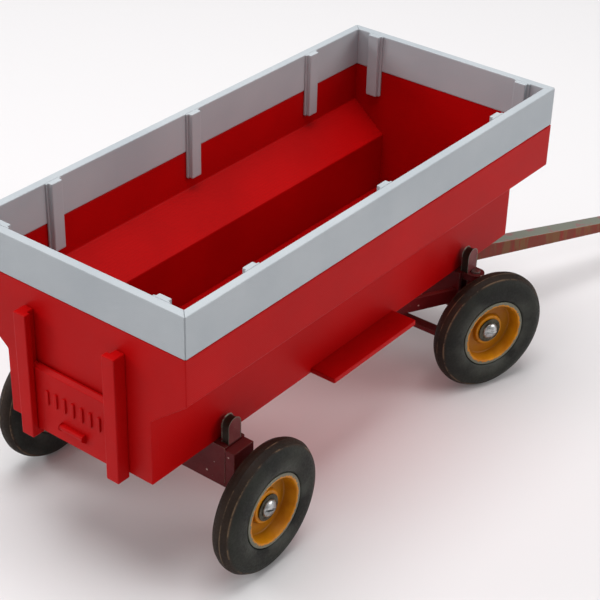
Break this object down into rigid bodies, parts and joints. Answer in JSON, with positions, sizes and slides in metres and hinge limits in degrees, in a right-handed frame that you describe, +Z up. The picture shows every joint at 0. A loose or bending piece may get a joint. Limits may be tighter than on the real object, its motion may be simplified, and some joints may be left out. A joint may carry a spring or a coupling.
{
  "type": "grain cart",
  "caption": "Toy-scale grain cart: a flared hopper box with a lift-off extension and sliding rear gate on a steerable running gear with rubber tyres and a hinged drawbar.",
  "frame": {"origin": "middle of the footprint, on the ground under the tyres", "axes": "+X forward towards the drawbar, +Y to the cart's left, +Z up"},
  "size_m": [0.2414, 0.0884, 0.0842],
  "materials": {
    "box_red": "satin printed plastic with faint layer lines",
    "board_grey": "satin printed plastic with faint layer lines",
    "gear_maroon": "worn gloss enamel with small chips",
    "bar_brown": "worn enamel rubbed through to metal on top",
    "rubber_black": "aged solid rubber",
    "wheel_yellow": "gloss enamel worn to bare metal on the lip",
    "screw_steel": "bright plated steel"
  },
  "bodies": {
    "cart": {"box_floor": "box_red", "side_left": "box_red", "side_right": "box_red", "end_front": "box_red", "end_rear": "box_red", "gate_post_left": "box_red", "gate_post_right": "box_red", "side_tray": "box_red", "rear_bolster": "gear_maroon", "rear_stake_left": "gear_maroon", "rear_stake_right": "gear_maroon", "rear_bracket_left": "gear_maroon", "rear_bracket_right": "gear_maroon", "front_bolster": "gear_maroon", "front_stake_left": "gear_maroon", "front_stake_right": "gear_maroon", "reach_pole": "gear_maroon", "reach_pin": "screw_steel", "hound_left": "gear_maroon", "hound_right": "gear_maroon", "hound_plate": "gear_maroon", "hound_bolt": "screw_steel", "box_screws": "screw_steel", "kingpins": "screw_steel", "center_pin": "screw_steel", "wheel_screws_rear": "screw_steel", "wheel_washers_rear": "screw_steel"},
    "extension": {"board_left": "board_grey", "board_right": "board_grey", "board_front": "board_grey", "board_rear": "board_grey", "strap_left_rear": "board_grey", "strap_left_middle": "board_grey", "strap_left_front": "board_grey", "strap_right_rear": "board_grey", "strap_right_middle": "board_grey", "strap_right_front": "board_grey", "straps_front": "board_grey", "straps_rear": "board_grey"},
    "gate": {"slide_gate": "box_red"},
    "drawbar_head": {"drawbar_head": "gear_maroon", "drawbar_pin": "screw_steel"},
    "drawbar": {"drawbar": "bar_brown"},
    "tie_rod": {"tie_rod": "gear_maroon", "tie_rod_rivets": "screw_steel"},
    "knuckle_left": {"knuckle_left": "gear_maroon", "wheel_screw_left": "screw_steel", "wheel_washer_left": "screw_steel"},
    "knuckle_right": {"knuckle_right": "gear_maroon", "wheel_screw_right": "screw_steel", "wheel_washer_right": "screw_steel"},
    "wheel_rear_left": {"tyre_rear_left": "rubber_black", "wheel_rear_left": "wheel_yellow"},
    "wheel_rear_right": {"tyre_rear_right": "rubber_black", "wheel_rear_right": "wheel_yellow"},
    "wheel_front_left": {"tyre_front_left": "rubber_black", "wheel_front_left": "wheel_yellow"},
    "wheel_front_right": {"tyre_front_right": "rubber_black", "wheel_front_right": "wheel_yellow"}
  },
  "joints": [
    {"name": "extension_lift", "type": "slide", "parent": "cart", "child": "extension", "axis": [0, 0, 1], "range_m": [0, 0.02]},
    {"name": "gate_slide", "type": "slide", "parent": "cart", "child": "gate", "axis": [0, 0, 1], "range_m": [0, 0.014]},
    {"name": "drawbar_steer", "type": "hinge", "parent": "cart", "child": "drawbar_head", "pos_m": [0.01421, 0, 0.0201], "axis": [0, 0, 1], "range_deg": [-9.1, 50.9]},
    {"name": "drawbar_pitch", "type": "hinge", "parent": "drawbar_head", "child": "drawbar", "pos_m": [0.02729, -0.00499, 0.0226], "axis": [-0.3567, -0.9342, 0], "range_deg": [-6, 28]},
    {"name": "knuckle_left_steer", "type": "hinge", "parent": "cart", "child": "knuckle_left", "pos_m": [0.01421, 0.0285, 0.0261], "axis": [0, 0, 1], "range_deg": [-9.1, 50.9]},
    {"name": "knuckle_right_steer", "type": "hinge", "parent": "cart", "child": "knuckle_right", "pos_m": [0.01421, -0.0285, 0.0261], "axis": [0, 0, 1], "range_deg": [-9.1, 50.9]},
    {"name": "tie_rod_swing", "type": "hinge", "parent": "drawbar_head", "child": "tie_rod", "pos_m": [0.00674, 0.00285, 0.0141], "axis": [0, 0, 1], "range_deg": [-50.9, 9.1]},
    {"name": "wheel_rear_left_spin", "type": "hinge", "parent": "cart", "child": "wheel_rear_left", "pos_m": [-0.09139, 0.03685, 0.0181], "axis": [0, 1, 0], "continuous": true},
    {"name": "wheel_rear_right_spin", "type": "hinge", "parent": "cart", "child": "wheel_rear_right", "pos_m": [-0.09139, -0.03685, 0.0181], "axis": [0, 1, 0], "continuous": true},
    {"name": "wheel_front_left_spin", "type": "hinge", "parent": "knuckle_left", "child": "wheel_front_left", "pos_m": [0.01692, 0.0356, 0.0181], "axis": [0.3567, 0.9342, 0], "continuous": true},
    {"name": "wheel_front_right_spin", "type": "hinge", "parent": "knuckle_right", "child": "wheel_front_right", "pos_m": [0.0115, -0.0356, 0.0181], "axis": [0.3567, 0.9342, 0], "continuous": true}
  ],
  "couplings": [
    {"joint": "knuckle_left_steer", "follows": "drawbar_steer", "ratio": 1},
    {"joint": "knuckle_right_steer", "follows": "drawbar_steer", "ratio": 1},
    {"joint": "tie_rod_swing", "follows": "drawbar_steer", "ratio": -1}
  ]
}
